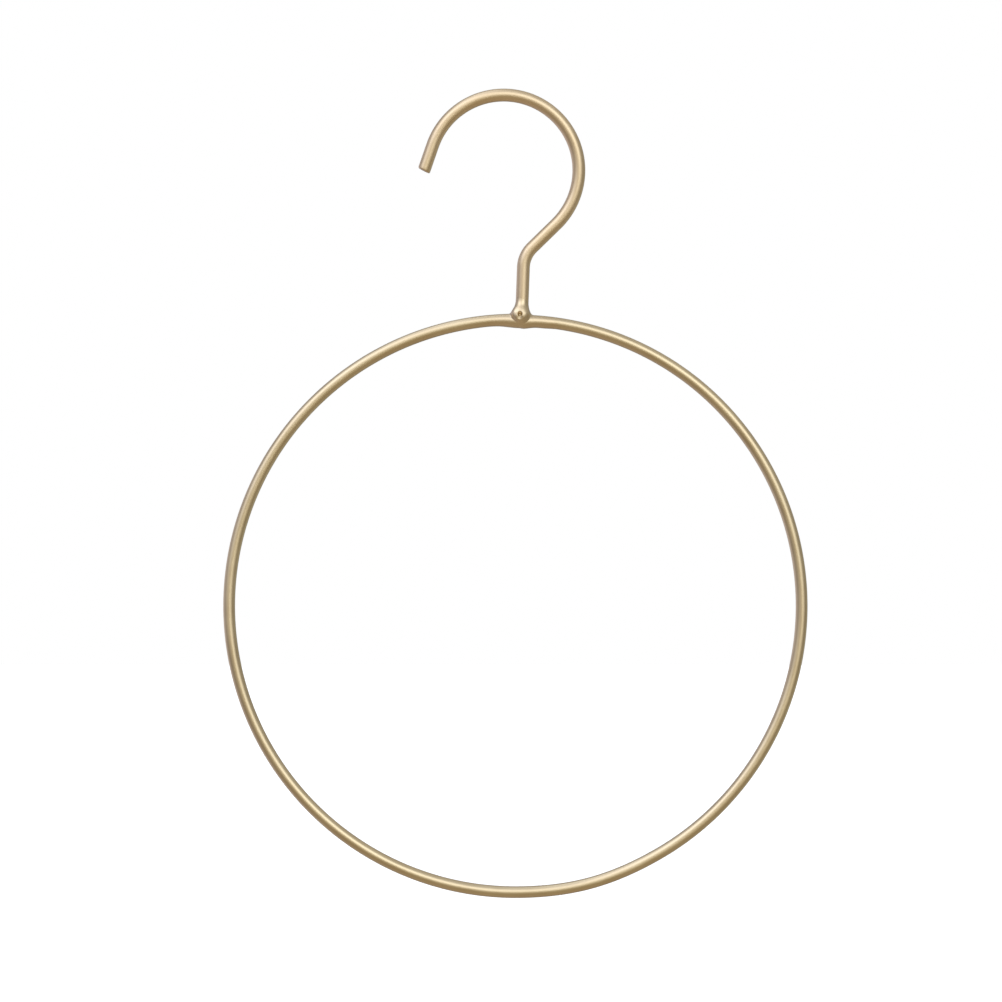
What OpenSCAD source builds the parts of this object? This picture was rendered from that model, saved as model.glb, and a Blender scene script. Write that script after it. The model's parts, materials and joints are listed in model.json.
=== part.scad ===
// Wreath frame: a flat wire ring with a hanging hook welded to its top.
// Millimetres. The origin is the hook's seat: the inside top of its round bend, in the middle
// of the wire. +Z is up, +X is to the right and -Y is the front, where the larger bead is.

/* [Ring] */
// Outside diameter of the ring
ring_outer_d = 200; // [120:5:400]
// Diameter of the ring's wire
ring_wire_d = 4.05; // [3.4:0.05:5]
// Gap between the two ends of the ring's wire, which the seam weld fills
seam_gap = 1.0; // [0.6:0.1:2]

/* [Hook] */
// Diameter of the hook's wire
hook_wire_d = 4.4; // [3.8:0.05:5]
// Inside diameter of the hook's round bend
hook_inner_d = 47.1; // [30:0.1:80]
// Direction from the bend's centre to the bend's free end, from +X towards +Z
hook_tip_angle = 160.91; // [120:0.01:200]
// Straight length of wire past the bend's free end
tip_len = 9.4; // [4:0.1:20]
// Chamfer round the cut end of the tip
tip_chamfer = 0.3; // [0.1:0.05:0.8]
// Slope of the straight that joins the neck to the round bend
diagonal_slope = 44.3; // [30:0.1:60]
// Length of that straight
diagonal_len = 11.5; // [6:0.5:30]
// Centreline radius of the neck bend above the stem
neck_bend_r = 9.9; // [6:0.1:20]

/* [Stem] */
// Straight stem from the neck bend down to the ring's outer edge
stem_len = 15.9; // [10:0.1:60]
// Lean of the stem to the right of upright
stem_lean = 2.05; // [-3:0.05:5]
// Distance of the stem's foot to the right of the ring's centre
stem_offset = 2.1; // [-4:0.1:4]
// Depth that the foot is sunk into the ring's outer edge
stem_sink = 0.6; // [0.3:0.1:0.7]

/* [Weld] */
// Radius of the front bead's round part
front_bead_r = 2.85; // [2.7:0.05:3.2]
// Height of the front bead's tail above the centre of its round part
front_bead_rise = 5.0; // [4:0.1:7]
// Radius of the crater left in the front bead
crater_r = 0.95; // [0.5:0.05:1.2]
// Radius of the rear bead's round part
rear_bead_r = 2.75; // [2.7:0.05:3.2]
// Height of the rear bead's tail above the centre of its round part
rear_bead_rise = 5.0; // [4:0.1:7]
// Depth of the seam weld's bulge under the ring
seam_bulge = 0.95; // [0.7:0.05:1.2]
// Half length of the seam weld along the ring
seam_half_len = 3.8; // [3.4:0.1:5]

/* [Hidden] */
$fn = 96;
ring_fn = 256;

ring_gold = [0.78, 0.67, 0.50];
hook_gold = [0.80, 0.70, 0.53];
weld_gold = [0.84, 0.74, 0.57];

ring_wire_r = ring_wire_d / 2;

// The path is worked out in the frame's own plane: [x, up]. Each point is an end of a bend.
bend_r = (hook_inner_d + hook_wire_d) / 2;
bend_centre = [0, -hook_inner_d / 2];
bend_start_angle = diagonal_slope - 90;
bend_sweep = hook_tip_angle - bend_start_angle;
bend_start = bend_centre + bend_r * toward(bend_start_angle);

neck_top = bend_start - diagonal_len * toward(diagonal_slope);
neck_centre = neck_top - neck_bend_r * toward(diagonal_slope + 90);
stem_heading = 90 - stem_lean;
neck_base = neck_centre + neck_bend_r * toward(stem_heading + 90);
neck_sweep = stem_heading - diagonal_slope;
// Share of a bend that is drawn from each of its ends
arc_share = 0.6;

// The ring hangs from the stem's foot. The seam in the ring is straight under the foot.
ring_r = (ring_outer_d - ring_wire_d) / 2;
foot = neck_base - (stem_len + ring_wire_r) * toward(stem_heading);
ring_centre = foot - [stem_offset, sqrt(ring_r * ring_r - stem_offset * stem_offset)];
seam_angle = acos(stem_offset / ring_r);
gap_angle = 2 * asin(seam_gap / 2 / ring_r);

// The seam weld is a barrel round the wire, set low so that it is proud underneath only.
barrel_drop = 0.55;
barrel_r = ring_wire_r + seam_bulge - barrel_drop;

// Each bead sits in the corner of the stem and the ring. Its base is [right, up, out] from the
// stem's foot, and its tail is [right, up, out] from its base.
front_bead_base = [-0.45, 1.9, 1.1];
front_bead_tail = [0.6, front_bead_rise, 0.8];
rear_bead_base = [0.3, 1.5, 0.45];
rear_bead_tail = [0, rear_bead_rise, 0];
crater_place = [-0.3, 2.0, 4.1];
cone_ease = 0.99;
bead_space = 12;

// Unit vector in the frame's plane at an angle from +X towards up
function toward(angle) = [cos(angle), sin(angle)];

// Turns what is drawn flat, with its height out of the page, upright with its front at -Y
module upright() {
    rotate([90, 0, 0]) children();
}

// An arc of round wire about the Z axis, from one angle on through a sweep
module arc(d, radius, from_angle, sweep) {
    rotate_extrude(start = from_angle, angle = sweep)
        translate([radius, 0])
            circle(d = d);
}

// A straight of the hook's wire down from a point on the X axis
module straight_down(x, length) {
    translate([x, 0, 0])
        rotate([90, 0, 0])
            cylinder(d = hook_wire_d, h = length);
}

// The ring's whole circle of wire, with no gap
module ring_circle() {
    translate([ring_centre.x, ring_centre.y, 0])
        rotate_extrude($fn = ring_fn)
            translate([ring_r, 0])
                circle(d = ring_wire_d);
}

// The ring's wire over a sweep that starts at an angle from +X
module ring_arc(from_angle, sweep) {
    translate([ring_centre.x, ring_centre.y, 0])
        arc(ring_wire_d, ring_r, from_angle, sweep, $fn = ring_fn);
}

// The ring's wire, open at the seam
module ring_wire() {
    ring_arc(seam_angle + gap_angle / 2, 360 - gap_angle);
}

// The hook's straight tip with its chamfered cut end, up from a point on the X axis
module tip(x) {
    tip_straight = tip_len - tip_chamfer;
    translate([x, 0, 0])
        rotate([-90, 0, 0]) {
            cylinder(d = hook_wire_d, h = tip_straight);
            translate([0, 0, tip_straight])
                cylinder(d1 = hook_wire_d, d2 = hook_wire_d - 2 * tip_chamfer, h = tip_chamfer);
        }
}

// The hook's wire from its tip to its flat foot. Each bend is drawn from both of its ends, as
// two arcs that overlap, so that each straight starts exactly where an arc of its own does.
module hook_wire() {
    half_bend = arc_share * bend_sweep;
    half_neck = arc_share * neck_sweep;
    translate([bend_centre.x, bend_centre.y, 0]) {
        rotate([0, 0, hook_tip_angle]) {
            arc(hook_wire_d, bend_r, -half_bend, half_bend);
            tip(bend_r);
        }
        rotate([0, 0, bend_start_angle]) {
            arc(hook_wire_d, bend_r, 0, half_bend);
            straight_down(bend_r, diagonal_len);
            translate([bend_r + neck_bend_r, -diagonal_len, 0]) {
                arc(hook_wire_d, neck_bend_r, 180, half_neck);
                rotate([0, 0, neck_sweep]) {
                    arc(hook_wire_d, neck_bend_r, 180 - half_neck, half_neck);
                    straight_down(-neck_bend_r, stem_len + stem_sink);
                }
            }
        }
    }
}

// A barrel with pointed ends along its own Z: an arc turned about its chord
module barrel(half_len, max_r) {
    arc_r = (half_len * half_len + max_r * max_r) / (2 * max_r);
    rotate_extrude()
        intersection() {
            translate([max_r - arc_r, 0]) circle(r = arc_r);
            translate([0, -arc_r]) square([arc_r, 2 * arc_r]);
        }
}

// The seam weld's barrel in its place on the ring
module seam_barrel() {
    translate([ring_centre.x, ring_centre.y, 0])
        rotate([0, 0, seam_angle])
            translate([ring_r - barrel_drop, 0, 0])
                rotate([90, 0, 0])
                    barrel(seam_half_len, barrel_r);
}

// A teardrop of weld metal: a ball of radius r at base, with a cone from it up to its tail.
// The cone starts just inside the ball, so that the two cross instead of only touching.
module teardrop(base, tail, r) {
    length = norm(tail);
    cone_r = r * cone_ease;
    side_h = cone_r * cone_r / length;
    side_r = cone_r * sqrt(1 - pow(cone_r / length, 2));
    translate(base)
        rotate([0, acos(tail.z / length), atan2(tail.y, tail.x)])
            rotate_extrude()
                intersection() {
                    union() {
                        circle(r = r);
                        polygon([[0, side_h], [side_r, side_h], [0, length]]);
                    }
                    translate([0, -r]) square([r, length + r]);
                }
}

// A bead on one side of the frame's middle plane, cut to fit the wires and the seam weld.
// side is 1 at the front and -1 at the back.
module bead(side, base, tail, r) {
    difference() {
        translate([foot.x, foot.y, 0])
            intersection() {
                teardrop([base.x, base.y, side * base.z], [tail.x, tail.y, side * tail.z], r);
                translate([0, 0, side * bead_space / 2])
                    cube([2 * bead_space, 2 * bead_space, bead_space], center = true);
            }
        hook_wire();
        ring_circle();
        seam_barrel();
    }
}

module ring() {
    color(ring_gold) upright() ring_wire();
}

module hook() {
    color(hook_gold) upright()
        difference() {
            hook_wire();
            ring_circle();
        }
}

module ring_seam_weld() {
    color(weld_gold) upright()
        difference() {
            union() {
                seam_barrel();
                ring_arc(seam_angle - gap_angle / 2, gap_angle);
            }
            ring_wire();
        }
}

module front_weld() {
    color(weld_gold) upright()
        difference() {
            bead(1, front_bead_base, front_bead_tail, front_bead_r);
            translate([foot.x, foot.y, 0] + crater_place) sphere(r = crater_r);
        }
}

module rear_weld() {
    color(weld_gold) upright()
        bead(-1, rear_bead_base, rear_bead_tail, rear_bead_r);
}

ring();
hook();
ring_seam_weld();
front_weld();
rear_weld();
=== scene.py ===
"""Wreath frame: a gold-coated wire ring with a hanging hook welded to its top.

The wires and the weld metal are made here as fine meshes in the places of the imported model's.
Lengths are in metres, apart from the weld's, which are in millimetres from the stem's foot.
"""
import json
import math

import bpy
import numpy as np
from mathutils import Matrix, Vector


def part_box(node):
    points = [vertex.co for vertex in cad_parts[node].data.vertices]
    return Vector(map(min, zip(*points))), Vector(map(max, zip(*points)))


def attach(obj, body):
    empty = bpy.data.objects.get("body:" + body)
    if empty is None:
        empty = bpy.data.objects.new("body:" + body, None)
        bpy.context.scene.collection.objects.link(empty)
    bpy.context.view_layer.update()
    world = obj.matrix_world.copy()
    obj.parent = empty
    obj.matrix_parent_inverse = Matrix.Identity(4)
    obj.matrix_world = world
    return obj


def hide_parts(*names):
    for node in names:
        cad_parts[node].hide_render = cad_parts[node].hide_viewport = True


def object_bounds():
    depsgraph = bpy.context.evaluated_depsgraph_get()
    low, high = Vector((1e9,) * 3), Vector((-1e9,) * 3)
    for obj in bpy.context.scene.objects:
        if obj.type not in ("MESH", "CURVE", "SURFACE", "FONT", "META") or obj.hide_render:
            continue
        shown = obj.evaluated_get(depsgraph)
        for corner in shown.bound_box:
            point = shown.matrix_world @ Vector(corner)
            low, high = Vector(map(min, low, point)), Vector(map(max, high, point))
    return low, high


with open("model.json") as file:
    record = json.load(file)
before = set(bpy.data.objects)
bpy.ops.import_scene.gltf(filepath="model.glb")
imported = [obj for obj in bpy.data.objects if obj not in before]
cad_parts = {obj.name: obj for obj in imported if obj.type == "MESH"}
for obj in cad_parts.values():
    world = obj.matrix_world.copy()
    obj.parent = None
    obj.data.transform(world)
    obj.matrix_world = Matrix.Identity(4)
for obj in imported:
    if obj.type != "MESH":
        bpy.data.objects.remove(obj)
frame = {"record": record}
cad_low, cad_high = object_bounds()

MM = 0.001
MOUNTS = {mount["name"]: mount for mount in frame["record"]["mounts"]}

# Steps of the wire meshes: points round a wire, and the length of a step along it
WIRE_SIDES = 64
WIRE_STEP = 0.5 * MM


# ================================================================ places from the frame


def toward(angle):
    """Unit vector in the frame's plane, at an angle from +X towards +Z."""
    return Vector((math.cos(angle), 0.0, math.sin(angle)))


def angle_of(v):
    """Angle of a vector in the frame's plane, from +X towards +Z."""
    return math.atan2(v.z, v.x)


def mount(name):
    """Place and direction of one of the record's mounts."""
    return Vector(MOUNTS[name]["pos_m"]), Vector(MOUNTS[name]["axis"]).normalized()


ring_low, ring_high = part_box("ring")
RING_WIRE_R = (ring_high.y - ring_low.y) / 2
RING_R = (ring_high.x - ring_low.x) / 2 - RING_WIRE_R
RING_CENTRE = Vector(((ring_high.x + ring_low.x) / 2, 0.0, ring_low.z + RING_R + RING_WIRE_R))

hook_low, hook_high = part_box("hook")
HOOK_WIRE_R = (hook_high.y - hook_low.y) / 2
SEAT = mount("hook_seat")[0]
BEND_R = hook_high.x - SEAT.x - HOOK_WIRE_R
BEND_CENTRE = SEAT - Vector((0.0, 0.0, BEND_R - HOOK_WIRE_R))

TIP_MIDDLE, TIP_DOWN = mount("hook_tip")
TIP_STRAIGHT = MOUNTS["hook_tip"]["dims"]["length_mm"] * MM
STEM_POINT, STEM_UP = mount("stem_wire")


def stem_foot():
    """Where the stem's centreline meets the ring's centreline circle."""
    offset = STEM_POINT - RING_CENTRE
    along = offset.dot(STEM_UP)
    aside_squared = offset.length_squared - along**2
    return STEM_POINT + STEM_UP * (math.sqrt(RING_R**2 - aside_squared) - along)


FOOT = stem_foot()
SEAM_ANGLE = angle_of(FOOT - RING_CENTRE)


# ================================================================ wires


def ease(x):
    """0 below 0, 1 above 1 and smooth between them."""
    x = np.clip(x, 0.0, 1.0)
    return x * x * (3 - 2 * x)


def mesh_object(name, points, faces):
    """A smooth-shaded object, made from points and faces."""
    mesh = bpy.data.meshes.new(name)
    mesh.from_pydata(points, [], faces)
    mesh.update()
    mesh.shade_smooth()
    piece = bpy.data.objects.new(name, mesh)
    bpy.context.scene.collection.objects.link(piece)
    return piece


def tube(name, rows, distances):
    """A closed tube through rows of points, each a loop round the wire, with both ends capped.

    Its UV map holds the distance along the wire and the place round it, both in metres. The place
    is measured as on the hook's wire, which is a little too far on the ring's thinner one.
    """
    sides = len(rows[0])
    last = len(rows) - 1
    places = [((i, j), (i + 1, j), (i + 1, j + 1), (i, j + 1))
              for i in range(last) for j in range(sides)]
    places.append([(0, j) for j in range(sides)])
    places.append([(last, j) for j in reversed(range(sides))])
    faces = [[i * sides + j % sides for i, j in place] for place in places]
    piece = mesh_object(name, [p for row in rows for p in row], faces)
    girth = 2 * math.pi * HOOK_WIRE_R / sides
    layer = piece.data.uv_layers.new(name="wire")
    corners = [(distances[i], j * girth) for place in places for i, j in place]
    layer.data.foreach_set("uv", np.array(corners, np.float32).ravel())
    return piece


def loop_round(centre, across, radius):
    """Points round a wire at centre; across is in the frame's plane, square to the wire."""
    turn = np.linspace(0, 2 * math.pi, WIRE_SIDES, endpoint=False)
    out = np.cos(turn)[:, None] * np.array(across)
    front = np.sin(turn)[:, None] * np.array((0.0, -1.0, 0.0))
    return np.array(centre) + radius * (out + front)


# The ring's wire was bent round a form and let go, so it isn't quite a circle: its right end
# springs in at the seam, and it stands out a little at the lower right.
RIGHT_END_DROP = 0.27 * MM
DROP_REACH = math.radians(42)
LOW_BULGE = 0.3 * MM
LOW_BULGE_AT = math.radians(285)
LOW_BULGE_REACH = math.radians(15)
# Half the gap between the wire's two ends, inside the seam weld
SEAM_HALF_GAP = 0.5 * MM


def ring_shift(angle):
    """How far the ring's centreline lies outside its circle, at angles measured from +X."""
    right_of_seam = (SEAM_ANGLE - angle) % (2 * math.pi)
    drop = -RIGHT_END_DROP * (1 - ease(right_of_seam / DROP_REACH))
    away = np.abs((angle - LOW_BULGE_AT + math.pi) % (2 * math.pi) - math.pi)
    return drop + LOW_BULGE * (1 - ease(away / LOW_BULGE_REACH))


def make_ring():
    """The ring's wire from one side of the seam all the way round to the other."""
    gap = SEAM_HALF_GAP / RING_R
    count = int(2 * math.pi * RING_R / WIRE_STEP)
    angles = np.linspace(SEAM_ANGLE + gap, SEAM_ANGLE + 2 * math.pi - gap, count)
    rows = []
    for angle in angles:
        across = toward(angle)
        centre = RING_CENTRE + across * (RING_R + float(ring_shift(angle)))
        rows.append(loop_round(centre, across, RING_WIRE_R))
    return tube("ring_wire", rows, (angles - angles[0]) * RING_R)


# The neck bend's radius, and the slope of the straight between it and the round bend
NECK_BEND_R = 9.9 * MM
DIAGONAL_SLOPE = math.radians(44.3)

# The tip was sheared off a little askew, which left a soft edge and a shallow dish
TIP_EDGE = 0.5 * MM
TIP_EDGE_ROWS = 7
# Where the rows of the wire's full radius start, in edges from the tip's end
TIP_FULL_START = 1.2
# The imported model's chamfer, past the tip mount's straight
TIP_CHAMFER = 0.3 * MM
TIP_SKEW = math.tan(math.radians(-8))
TIP_SKEW_REACH = 3 * MM
TIP_DISH = 0.12 * MM
TIP_DISH_RINGS = 10


def straight(start, end):
    """Evenly spaced points from start up to but not at end."""
    count = max(2, int((end - start).length / WIRE_STEP))
    return [start.lerp(end, i / count) for i in range(count)]


def bend(centre, radius, start, end):
    """Points on an arc about centre, from one angle up to but not at the other."""
    count = max(2, int(abs(end - start) * radius / WIRE_STEP))
    return [centre + toward(start + (end - start) * i / count) * radius for i in range(count)]


def hook_line():
    """Points along the hook's centreline, from the end of its tip to its foot."""
    bend_start = BEND_CENTRE + toward(DIAGONAL_SLOPE - math.pi / 2) * BEND_R
    diagonal = -toward(DIAGONAL_SLOPE)
    stem_down = -STEM_UP
    # The neck bend is fitted where the diagonal and the stem would cross
    gap = STEM_POINT - bend_start
    cross_down = diagonal.x * stem_down.z - diagonal.z * stem_down.x
    to_corner = (gap.x * stem_down.z - gap.z * stem_down.x) / cross_down
    corner = bend_start + diagonal * to_corner
    turn = diagonal.angle(stem_down)
    tangent = NECK_BEND_R * math.tan(turn / 2)
    neck_top = corner - diagonal * tangent
    neck_base = corner + stem_down * tangent
    neck_side = angle_of(diagonal) - math.pi / 2
    neck_centre = neck_top - toward(neck_side) * NECK_BEND_R

    askew = HOOK_WIRE_R * abs(TIP_SKEW)
    tip_end = TIP_MIDDLE + TIP_DOWN * (TIP_STRAIGHT / 2 + TIP_CHAMFER - askew)
    bend_end = TIP_MIDDLE - TIP_DOWN * TIP_STRAIGHT / 2
    points = straight(tip_end, bend_end)
    points += bend(BEND_CENTRE, BEND_R, angle_of(bend_end - BEND_CENTRE),
                   DIAGONAL_SLOPE - math.pi / 2)
    points += straight(bend_start, neck_top)
    points += bend(neck_centre, NECK_BEND_R, neck_side, neck_side + turn)
    points += straight(neck_base, FOOT) + [FOOT]
    return points


def make_hook():
    """The hook's wire, from its sheared tip to its foot inside the weld."""
    points = hook_line()
    place = np.array(points)
    ahead = np.gradient(place, axis=0)
    ahead /= np.linalg.norm(ahead, axis=1)[:, None]
    distance = np.concatenate([[0], np.cumsum(np.linalg.norm(np.diff(place, axis=0), axis=1))])
    rows = []
    lengths = []

    def add_row(along, radius):
        """Adds the loop round the wire at a distance from the tip's end, slanted near that end."""
        i = min(np.searchsorted(distance, along), len(points) - 1)
        if i > 0:
            share = (along - distance[i - 1]) / (distance[i] - distance[i - 1])
            centre = place[i - 1] + share * (place[i] - place[i - 1])
        else:
            centre = place[0] + ahead[0] * along
        across = np.array((ahead[i][2], 0.0, -ahead[i][0]))
        loop = loop_round(centre, across, radius)
        aside = (loop - centre) @ across
        skew = TIP_SKEW * (1 - float(ease(along / TIP_SKEW_REACH)))
        rows.append(loop + (aside * skew)[:, None] * ahead[i])
        lengths.append(along)

    flat = HOOK_WIRE_R - TIP_EDGE
    for i in range(1, TIP_DISH_RINGS):
        share = i / TIP_DISH_RINGS
        add_row(TIP_DISH * (1 - share**2), flat * share)
    for turn in np.linspace(0, math.pi / 2, TIP_EDGE_ROWS):
        add_row(TIP_EDGE * (1 - math.cos(turn)), flat + TIP_EDGE * math.sin(turn))
    for along in distance[distance > TIP_EDGE * TIP_FULL_START]:
        add_row(float(along), HOOK_WIRE_R)
    return tube("hook_wire", rows, lengths)


# ================================================================ weld metal
# The weld metal is described by fields: functions that are negative inside it, 0 on its skin and
# about the distance outside it. Points are [right, out to the front, up] from the stem's foot, in
# millimetres.

RIGHT, OUT, UP = range(3)
# Swaps front and back, as between weld points and the frame's axes
FRONT_TO_BACK = np.array((1, -1, 1))
# A length and a step small enough to count as none
TINY = 0.01


def local(v):
    """A direction or offset in the frame, as [right, out to the front, up]."""
    return np.array((v.x, -v.y, v.z))


def ball(p, centre, radius):
    """A round ball."""
    return np.linalg.norm(p - np.array(centre), axis=-1) - radius


def rod(p, start, end, start_r, end_r):
    """A round rod between two points, with a radius for each of its ends."""
    start, end = np.array(start), np.array(end)
    line = end - start
    share = np.clip((p - start) @ line / (line @ line), 0, 1)
    radius = start_r + (end_r - start_r) * share
    return np.linalg.norm(p - start - share[..., None] * line, axis=-1) - radius


def join(a, b, soft):
    """Both shapes, with a fillet about as wide as soft where they meet."""
    near = np.maximum(soft - np.abs(a - b), 0) / soft
    return np.minimum(a, b) - near * near * soft / 4


def carve(a, b, soft):
    """The first shape without the second, with a rounded edge."""
    return -join(-a, b, soft)


RIPPLE_WAVES = 6


def ripple(p, size, seed):
    """A gentle seeded unevenness between about -1 and 1, with lumps about size across."""
    rng = np.random.default_rng(seed)
    total = np.zeros(p.shape[:-1])
    for _ in range(RIPPLE_WAVES):
        direction = rng.normal(size=3)
        direction *= math.pi / size / np.linalg.norm(direction)
        total += np.sin(p @ direction + rng.uniform(0, 2 * math.pi))
    return total / (RIPPLE_WAVES / 2)


RING_CENTRE_LOCAL = local(RING_CENTRE - FOOT) / MM
# A point on the stem's centreline, 20 mm above its foot and clear of the weld
STEM_TOP_LOCAL = local(STEM_UP) * 20
# Half the length over which the ring's line steps from one wire end to the other at the seam
SEAM_STEP_HALF = 1.2


def ring_line_distance(p):
    """Distance from the ring's centreline, the angle along the ring, and how far outside the line.

    Across the seam the line passes smoothly from one end of the ring to the other.
    """
    across = p[..., RIGHT] - RING_CENTRE_LOCAL[RIGHT]
    up = p[..., UP] - RING_CENTRE_LOCAL[UP]
    angle = np.arctan2(up, across)
    drop = RIGHT_END_DROP / MM
    step = drop * ease((SEAM_ANGLE - angle) * RING_R / MM / SEAM_STEP_HALF / 2 + 0.5)
    shift = np.where(angle < SEAM_ANGLE, ring_shift(angle) / MM + drop, 0) - step
    above = np.hypot(across, up) - RING_R / MM - shift
    return np.hypot(above, p[..., OUT]), angle, above


# Fillets between the two wires, from the weld metal to the wires, and from a lump to its tongue
CORNER_FILLET = 2.0
WELD_FILLET = 0.9
TONGUE_FILLET = 1.1
# How fast the wires sink away from the weld metal, near it and past its fillet
FADE = 0.01
FADE_DEEP = 0.8
# How far each bead reaches past the frame's middle plane
BEAD_OVERLAP = 0.4
# Height of the beads' unevenness, and how far across its lumps are
BEAD_RIPPLE = 0.03
BEAD_RIPPLE_SIZE = 1.6


def wires_under(weld, p):
    """The two wires with a fillet in their corner, sinking where the weld metal is far off.

    So a piece of weld metal ends in a thin edge on each wire, and stops inside it.
    """
    away = np.maximum(weld, 0)
    sink = FADE * away + FADE_DEEP * np.maximum(away - WELD_FILLET, 0) ** 2
    ring = ring_line_distance(p)[0] - RING_WIRE_R / MM + sink
    stem = rod(p, (0, 0, 0), STEM_TOP_LOCAL, HOOK_WIRE_R / MM, HOOK_WIRE_R / MM) + sink
    return join(ring, stem, CORNER_FILLET)


def button(p, centre, lean, size, square):
    """A lump, thickest at its centre, whose front leans back by an angle.

    size is half its width, its thickness and half its height, and square is 2 for an ellipsoid and
    more for a flatter front with a sharper edge.
    """
    right, out, up = np.moveaxis(p - np.array(centre), -1, 0)
    rise = up * math.cos(lean) - out * math.sin(lean)
    proud = out * math.cos(lean) + up * math.sin(lean)
    face = np.hypot(right / size[RIGHT], rise / size[UP])
    share = face**square + np.abs(proud / size[OUT]) ** square
    return (share ** (1 / square) - 1) * size[OUT]


def weld_bead(p, lump, tongue, side, seed):
    """A lump and a tongue of metal up the stem, joined and faded into the wires.

    side is 1 for the front bead and -1 for the rear one. Each reaches a little past the frame's
    middle plane, where it sinks under the other.
    """
    bead = join(lump, tongue, TONGUE_FILLET) + BEAD_RIPPLE * ripple(p, BEAD_RIPPLE_SIZE, seed)
    metal = join(bead, wires_under(bead, p), WELD_FILLET)
    past = np.maximum(-side * p[..., OUT], 0)
    return np.maximum(metal + past**2, past - BEAD_OVERLAP)


def front_bead(p):
    """The front bead: a broad lump that leans back, with a pit and a shallow dish under it."""
    lump = button(
        p, centre=(-0.45, 1.35, 1.8), lean=math.radians(14), size=(2.9, 2.1, 2.7), square=3.0)
    tongue = rod(p, start=(-0.27, 0.45, 2.2), end=(0.1, 0.3, 7.2), start_r=3.0, end_r=1.15)
    dish = ball(p, centre=(-0.65, 4.6, 0.55), radius=1.25)
    pit = rod(p, start=(-0.6, 4.2, 2.05), end=(-0.55, 3.15, 1.6), start_r=1.0, end_r=0.6)
    metal = weld_bead(p, lump, tongue, side=1, seed=5)
    return carve(carve(metal, dish, soft=0.4), pit, soft=0.4)


def rear_bead(p):
    """The rear bead: smoother and lower than the front one."""
    behind = p * FRONT_TO_BACK
    lump = button(
        behind, centre=(0.2, 1.0, 1.6), lean=math.radians(8), size=(2.75, 1.8, 2.6), square=2.8)
    tongue = rod(behind, start=(-0.27, 0.0, 2.2), end=(0.1, 0.1, 7.0), start_r=2.95, end_r=1.2)
    return weld_bead(p, lump, tongue, side=-1, seed=11)


# The seam's swelling and a smaller lump beside it. Each has its height, its place along the ring
# to the right of the seam, and its reach.
SEAM_SWELL = (0.9, -0.9, 5.4)
SEAM_LUMP = (0.2, 8, 3)
# How quickly the swelling dies away from the ring's underside to its top
SEAM_LOWNESS = 1.5
# The swelling's unevenness: its height, size and seed, and the bulge at which it is at its full
SEAM_RIPPLE = (0.04, 2.0, 3)
SEAM_RIPPLE_FULL = 0.4
# How far inside the wire the collar lies where it doesn't bulge
SEAM_SINK = 0.015
# Where along the ring the collar begins to close inside the wire, and how long and deep it closes
SEAM_END = 12.5
SEAM_END_LENGTH = 2
SEAM_END_SINK = 2.0


def hump(along, height, middle, reach):
    """A smooth hump along the ring."""
    return height * np.exp(-(((along - middle) / reach) ** 2))


def seam_collar(p):
    """The swollen seam of the ring's two ends: proud underneath, and flush along its top."""
    distance, angle, above = ring_line_distance(p)
    along = (SEAM_ANGLE - angle) * RING_R / MM
    low = (1 - above / np.maximum(distance, TINY)) / 2
    bulge = (hump(along, *SEAM_SWELL) + hump(along, *SEAM_LUMP)) * low**SEAM_LOWNESS
    height, size, seed = SEAM_RIPPLE
    uneven = height * ripple(p, size, seed) * np.clip(bulge / SEAM_RIPPLE_FULL, 0, 1)
    sink = SEAM_SINK + SEAM_END_SINK * ease((np.abs(along) - SEAM_END) / SEAM_END_LENGTH)
    return distance - RING_WIRE_R / MM - bulge + uneven + sink


def slopes(field, p):
    """The field's value and gradient at points."""
    gradient = np.stack([
        (field(p + TINY * axis) - field(p - TINY * axis)) / (2 * TINY) for axis in np.eye(3)
    ], -1)
    return field(p), gradient


def skin(field, low, high, cell):
    """Points and faces of a field's skin between two corners, one point to each cell it crosses."""
    low = np.array(low, float)
    counts = np.ceil((np.array(high) - low) / cell).astype(int) + 1
    ticks = [low[i] + cell * np.arange(counts[i]) for i in range(3)]
    inside = field(np.stack(np.meshgrid(*ticks, indexing="ij"), -1)) < 0
    corners = np.zeros(counts - 1, int)
    for shift in np.ndindex(2, 2, 2):
        corners += inside[tuple(slice(s, n - 1 + s) for s, n in zip(shift, counts))]
    crossed = (corners > 0) & (corners < 8)
    number = np.full(crossed.shape, -1)
    number[crossed] = np.arange(crossed.sum())
    points = low + cell * (np.argwhere(crossed) + 0.5)

    quads = []
    for axis in range(3):
        b, c = np.eye(3, dtype=int)[(axis + 1) % 3], np.eye(3, dtype=int)[(axis + 2) % 3]
        first = np.delete(inside, -1, axis)
        edges = np.argwhere(first != np.delete(inside, 0, axis))
        around = [edges - b - c, edges - c, edges, edges - b]
        quad = np.stack([number[tuple(cells.T)] for cells in around], 1)
        outward = first[tuple(edges.T)]
        quads.append(np.where(outward[:, None], quad, quad[:, ::-1]))
    quads = np.concatenate(quads)
    return settle(field, points, quads, cell), quads


# Rounds of evening out, and steps onto the skin in each
SETTLE_ROUNDS = 6
SETTLE_STEPS = 2
# Least squared slope that a step trusts
LEAST_SLOPE = 0.2


def settle(field, points, quads, cell):
    """Evens out the points and brings them onto the field's skin."""
    ends = np.concatenate([quads[:, [i, (i + 1) % 4]] for i in range(4)])
    ends = np.concatenate([ends, ends[:, ::-1]])
    counts = np.bincount(ends[:, 0], minlength=len(points))[:, None]
    for turn in range(SETTLE_ROUNDS):
        if turn > 0:
            total = np.zeros_like(points)
            np.add.at(total, ends[:, 0], points[ends[:, 1]])
            points = (points + total / counts) / 2
        for _ in range(SETTLE_STEPS):
            value, gradient = slopes(field, points)
            slope_squared = np.maximum((gradient**2).sum(-1), LEAST_SLOPE)
            step = -(value / slope_squared)[:, None] * gradient
            points = points + np.clip(step, -cell, cell)
    return points


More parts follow.
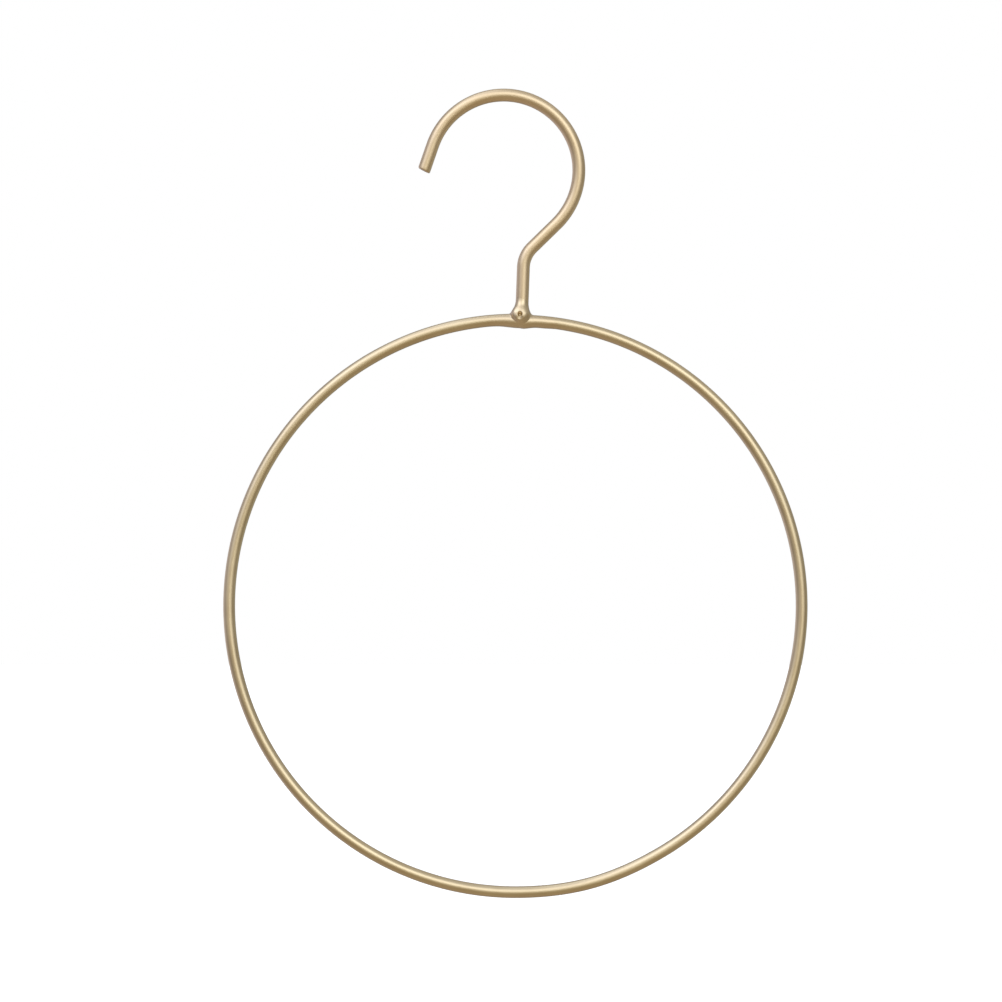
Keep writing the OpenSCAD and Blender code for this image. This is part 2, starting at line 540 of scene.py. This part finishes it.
# Curvature per millimetre of the deepest creases and pits, and the reach that it is measured over
DEEP_HOLLOW = 2.5
HOLLOW_REACH = 0.3


def make_weld(name, field, low, high, cell):
    """One piece of weld metal, with an attribute that says how deep in a crease each point is,
    which the coat uses to paint shade into its creases and pit.
    """
    points, quads = skin(field, low, high, cell)
    places = np.array(FOOT) + MM * points * FRONT_TO_BACK
    piece = mesh_object(name, places.tolist(), quads[:, ::-1].tolist())
    steps = HOLLOW_REACH * np.concatenate([np.eye(3), -np.eye(3)])
    around = sum(field(points + step) for step in steps)
    bend_in = (len(steps) * field(points) - around) / HOLLOW_REACH**2
    hollow = np.clip(bend_in / DEEP_HOLLOW, 0, 1)
    crease_shade = piece.data.attributes.new("crease_shade", "FLOAT", "POINT")
    crease_shade.data.foreach_set("value", hollow.astype(np.float32))
    return piece


# ================================================================ gold coat


# Noises of the cloudy tone, the flakes and the orange peel: cycles per metre, and detail
CLOUDS = (90.0, 3.0)
FLAKES = (9000.0, 2.0)
PEEL = (1500.0, 2.0)
# The drawing lines' cycles per metre along the wire and round it, and their noise once stretched
LINE_STRETCH = (60.0, 4200.0, 1.0)
LINES = (1.0, 3.0)

# Parts of a value's range that are spread out: most of a noise, its peaks, and a crease's slope
MOST = (0.3, 0.7)
PEAKS = (0.55, 0.75)
CREASE_SHADE_SLOPE = (0.2, 0.8)

FLAKE_COLOUR = (1.0, 0.93, 0.78)
FLAKE_SHARE = 0.05
# Painted shade in the weld's creases and pit: its dark colour, and the most of it that is mixed in
CREASE_SHADE_COLOUR = (0.38, 0.31, 0.16)
CREASE_SHADE_SHARE = 0.5

# How far the roughness varies each way with the clouds and with the flakes
CLOUD_ROUGHNESS = 0.025
FLAKE_ROUGHNESS = 0.02

# Heights of the flakes and the drawing lines, as shares of the orange peel's
FLAKE_HEIGHT = 0.06
LINE_HEIGHT = 0.3
BUMP_STRENGTH = 0.22
BUMP_DISTANCE = 0.02 * MM

# Places of the colour sockets on a Mix node
MIX_FIRST = 6
MIX_SECOND = 7
MIX_RESULT = 2


def gold(name, low_colour, high_colour, roughness, has_lines, has_crease_shade):
    """A satin metallic coat: fine flakes, a faint orange peel, and cloudy tone along the wire.

    has_lines adds the wire's drawing lines, from its UV map, and has_crease_shade painted shade: a
    darker colour in the weld's creases and pit.
    """
    material = bpy.data.materials.new(name)
    material.use_nodes = True
    nodes, links = material.node_tree.nodes, material.node_tree.links
    shader = nodes["Principled BSDF"]
    shader.inputs["Metallic"].default_value = 1.0
    place = nodes.new("ShaderNodeTexCoord").outputs["Object"]

    def noise(scale, detail, vector=place):
        node = nodes.new("ShaderNodeTexNoise")
        node.inputs["Scale"].default_value = scale
        node.inputs["Detail"].default_value = detail
        links.new(vector, node.inputs["Vector"])
        return node.outputs["Fac"]

    def spread(value, low, high, part=MOST):
        node = nodes.new("ShaderNodeMapRange")
        node.inputs["From Min"].default_value, node.inputs["From Max"].default_value = part
        node.inputs["To Min"].default_value = low
        node.inputs["To Max"].default_value = high
        links.new(value, node.inputs["Value"])
        return node.outputs["Result"]

    def feed(socket, value):
        """Sets a socket to a number or a colour, or links an output to it."""
        if isinstance(value, tuple):
            socket.default_value = (*value, 1.0)
        elif isinstance(value, float):
            socket.default_value = value
        else:
            links.new(value, socket)

    def mix(share, first, second):
        node = nodes.new("ShaderNodeMix")
        node.data_type = "RGBA"
        links.new(share, node.inputs["Factor"])
        feed(node.inputs[MIX_FIRST], first)
        feed(node.inputs[MIX_SECOND], second)
        return node.outputs[MIX_RESULT]

    def calculate(operation, first, second):
        node = nodes.new("ShaderNodeMath")
        node.operation = operation
        feed(node.inputs[0], first)
        feed(node.inputs[1], second)
        return node.outputs[0]

    clouds = noise(*CLOUDS)
    flakes = noise(*FLAKES)
    peel = noise(*PEEL)
    colour = mix(spread(clouds, 0.0, 1.0), low_colour, high_colour)
    colour = mix(spread(flakes, 0.0, FLAKE_SHARE, PEAKS), colour, FLAKE_COLOUR)
    # Painted shade: the weld's creases and pit are darkened in the base colour
    if has_crease_shade:
        crease_shade = nodes.new("ShaderNodeAttribute")
        crease_shade.attribute_name = "crease_shade"
        crease_shade_mix = spread(crease_shade.outputs["Fac"], 0.0, CREASE_SHADE_SHARE, CREASE_SHADE_SLOPE)
        colour = mix(crease_shade_mix, colour, CREASE_SHADE_COLOUR)
    links.new(colour, shader.inputs["Base Color"])
    cloud_part = spread(clouds, -CLOUD_ROUGHNESS, CLOUD_ROUGHNESS)
    flake_part = spread(flakes, roughness - FLAKE_ROUGHNESS, roughness + FLAKE_ROUGHNESS)
    links.new(calculate("ADD", cloud_part, flake_part), shader.inputs["Roughness"])

    height = calculate("ADD", peel, calculate("MULTIPLY", flakes, FLAKE_HEIGHT))
    if has_lines:
        wire_map = nodes.new("ShaderNodeUVMap")
        wire_map.uv_map = "wire"
        stretch = nodes.new("ShaderNodeMapping")
        stretch.inputs["Scale"].default_value = LINE_STRETCH
        links.new(wire_map.outputs["UV"], stretch.inputs["Vector"])
        lines = noise(*LINES, stretch.outputs["Vector"])
        height = calculate("ADD", height, calculate("MULTIPLY", lines, LINE_HEIGHT))
    bump = nodes.new("ShaderNodeBump")
    bump.inputs["Strength"].default_value = BUMP_STRENGTH
    bump.inputs["Distance"].default_value = BUMP_DISTANCE
    links.new(height, bump.inputs["Height"])
    links.new(bump.outputs["Normal"], shader.inputs["Normal"])
    return material


# ================================================================ room


def pale_floor():
    """A plain pale floor below the hanging frame, glowing a little to stay pale everywhere."""
    size = 6.0
    drop = 0.05
    bpy.ops.mesh.primitive_plane_add(size=size, location=(0, 0, cad_low.z - drop))
    floor = bpy.context.object
    floor.name = "floor"
    material = bpy.data.materials.new("pale_floor")
    material.use_nodes = True
    shader = material.node_tree.nodes["Principled BSDF"]
    shader.inputs["Base Color"].default_value = (0.9, 0.9, 0.9, 1.0)
    shader.inputs["Roughness"].default_value = 0.9
    shader.inputs["Specular IOR Level"].default_value = 0.0
    shader.inputs["Emission Color"].default_value = (1.0, 1.0, 1.0, 1.0)
    shader.inputs["Emission Strength"].default_value = 0.6
    floor.data.materials.append(material)
    # The wires don't mirror the floor: the soft light below stands for it
    floor.visible_glossy = False


# Soft lights all round: degrees from the front towards the right, degrees above level, how
# narrow, and colour
SOFT_LIGHTS = (
    ("key_right", 23, 22, 12.0, (1.55, 1.70, 1.90)),
    ("key_left", -41, 38, 9.0, (1.70, 1.80, 2.12)),
    ("overhead", -110, 74, 25.0, (0.90, 1.00, 1.20)),
    ("right_wash", 120, 60, 2.2, (0.48, 0.48, 0.46)),
    ("left_wash", -127, -5, 4.0, (0.54, 0.54, 0.69)),
    ("low_right", 120, -23, 6.5, (0.23, 0.25, 0.22)),
    ("front_fill", 9, 7, 3.0, (0.27, 0.23, 0.11)),
    ("below", -14, -81, 1.5, (0.38, 0.31, 0.22)),
)


def studio_light():
    """The room's light as wide soft lobes, and plain white behind the object."""
    world = bpy.data.worlds.new("studio")
    bpy.context.scene.world = world
    world.use_nodes = True
    nodes, links = world.node_tree.nodes, world.node_tree.links
    nodes.clear()
    place = nodes.new("ShaderNodeTexCoord").outputs["Generated"]
    total = None
    for name, azimuth, elevation, narrow, colour in SOFT_LIGHTS:
        a, e = math.radians(azimuth), math.radians(elevation)
        aim = nodes.new("ShaderNodeVectorMath")
        aim.operation = "DOT_PRODUCT"
        aim.inputs[1].default_value = (
            math.sin(a) * math.cos(e), -math.cos(a) * math.cos(e), math.sin(e))
        links.new(place, aim.inputs[0])
        fall = nodes.new("ShaderNodeMath")
        fall.operation = "MULTIPLY_ADD"
        fall.inputs[1].default_value = narrow
        fall.inputs[2].default_value = -narrow
        links.new(aim.outputs["Value"], fall.inputs[0])
        glow = nodes.new("ShaderNodeMath")
        glow.operation = "EXPONENT"
        links.new(fall.outputs[0], glow.inputs[0])
        tint = nodes.new("ShaderNodeVectorMath")
        tint.label = name
        tint.operation = "SCALE"
        tint.inputs[0].default_value = colour
        links.new(glow.outputs[0], tint.inputs["Scale"])
        if total is not None:
            both = nodes.new("ShaderNodeVectorMath")
            both.operation = "ADD"
            links.new(total, both.inputs[0])
            links.new(tint.outputs[0], both.inputs[1])
            total = both.outputs[0]
        else:
            total = tint.outputs[0]
    light = nodes.new("ShaderNodeBackground")
    links.new(total, light.inputs["Color"])
    plain = nodes.new("ShaderNodeBackground")
    plain.inputs["Color"].default_value = (1.0, 1.0, 1.0, 1.0)
    pick = nodes.new("ShaderNodeMixShader")
    links.new(nodes.new("ShaderNodeLightPath").outputs["Is Camera Ray"], pick.inputs[0])
    links.new(light.outputs[0], pick.inputs[1])
    links.new(plain.outputs[0], pick.inputs[2])
    links.new(pick.outputs[0], nodes.new("ShaderNodeOutputWorld").inputs["Surface"])


CAMERA_DISTANCE = 1.3
VIEW_WIDTH = 342.9 * MM
VIEW_RIGHT = -4.93 * MM
VIEW_UP = -2.62 * MM
SENSOR_MM = 36.0


def front_camera():
    """Level and square to the front, a little below and left of the frame's middle."""
    middle = (cad_low + cad_high) / 2
    data = bpy.data.cameras.new("camera")
    data.sensor_width = SENSOR_MM
    data.lens = SENSOR_MM * CAMERA_DISTANCE / VIEW_WIDTH
    camera = bpy.data.objects.new("camera", data)
    camera.location = (middle.x + VIEW_RIGHT, -CAMERA_DISTANCE, middle.z + VIEW_UP)
    camera.rotation_euler = (math.pi / 2, 0.0, 0.0)
    bpy.context.scene.collection.objects.link(camera)
    bpy.context.scene.camera = camera


# ================================================================ the whole frame


def main():
    """Makes the five pieces, the floor, the light and the camera."""
    ring_gold = gold(
        "ring_gold", low_colour=(0.74, 0.60, 0.39), high_colour=(0.80, 0.66, 0.44),
        roughness=0.34, has_lines=True, has_crease_shade=False)
    hook_gold = gold(
        "hook_gold", low_colour=(0.79, 0.62, 0.40), high_colour=(0.85, 0.68, 0.46),
        roughness=0.38, has_lines=True, has_crease_shade=False)
    weld_gold = gold(
        "weld_gold", low_colour=(0.75, 0.60, 0.395), high_colour=(0.81, 0.66, 0.45),
        roughness=0.33, has_lines=False, has_crease_shade=True)
    ring = make_ring()
    hook = make_hook()
    front_weld = make_weld(
        "front_weld_bead", front_bead, low=(-8, -3.0, -4), high=(8, 4.2, 12), cell=0.12)
    rear_weld = make_weld(
        "rear_weld_bead", rear_bead, low=(-8, -4.2, -4), high=(8, 3.0, 12), cell=0.15)
    seam_weld = make_weld(
        "ring_seam_collar", seam_collar, low=(-15, -3.4, -4.5), high=(15, 3.4, 3.2), cell=0.16)
    pieces = (
        (ring, "ring", "ring_gold", ring_gold),
        (hook, "hook", "hook_gold", hook_gold),
        (front_weld, "front_weld", "weld_gold", weld_gold),
        (rear_weld, "rear_weld", "weld_gold", weld_gold),
        (seam_weld, "ring_seam_weld", "weld_gold", weld_gold),
    )
    for piece, node, slot, material in pieces:
        piece.data.materials.append(material)
        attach(piece, "root")
        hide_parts(node)
    pale_floor()
    studio_light()
    front_camera()
    bpy.context.scene.view_settings.view_transform = "Standard"


main()
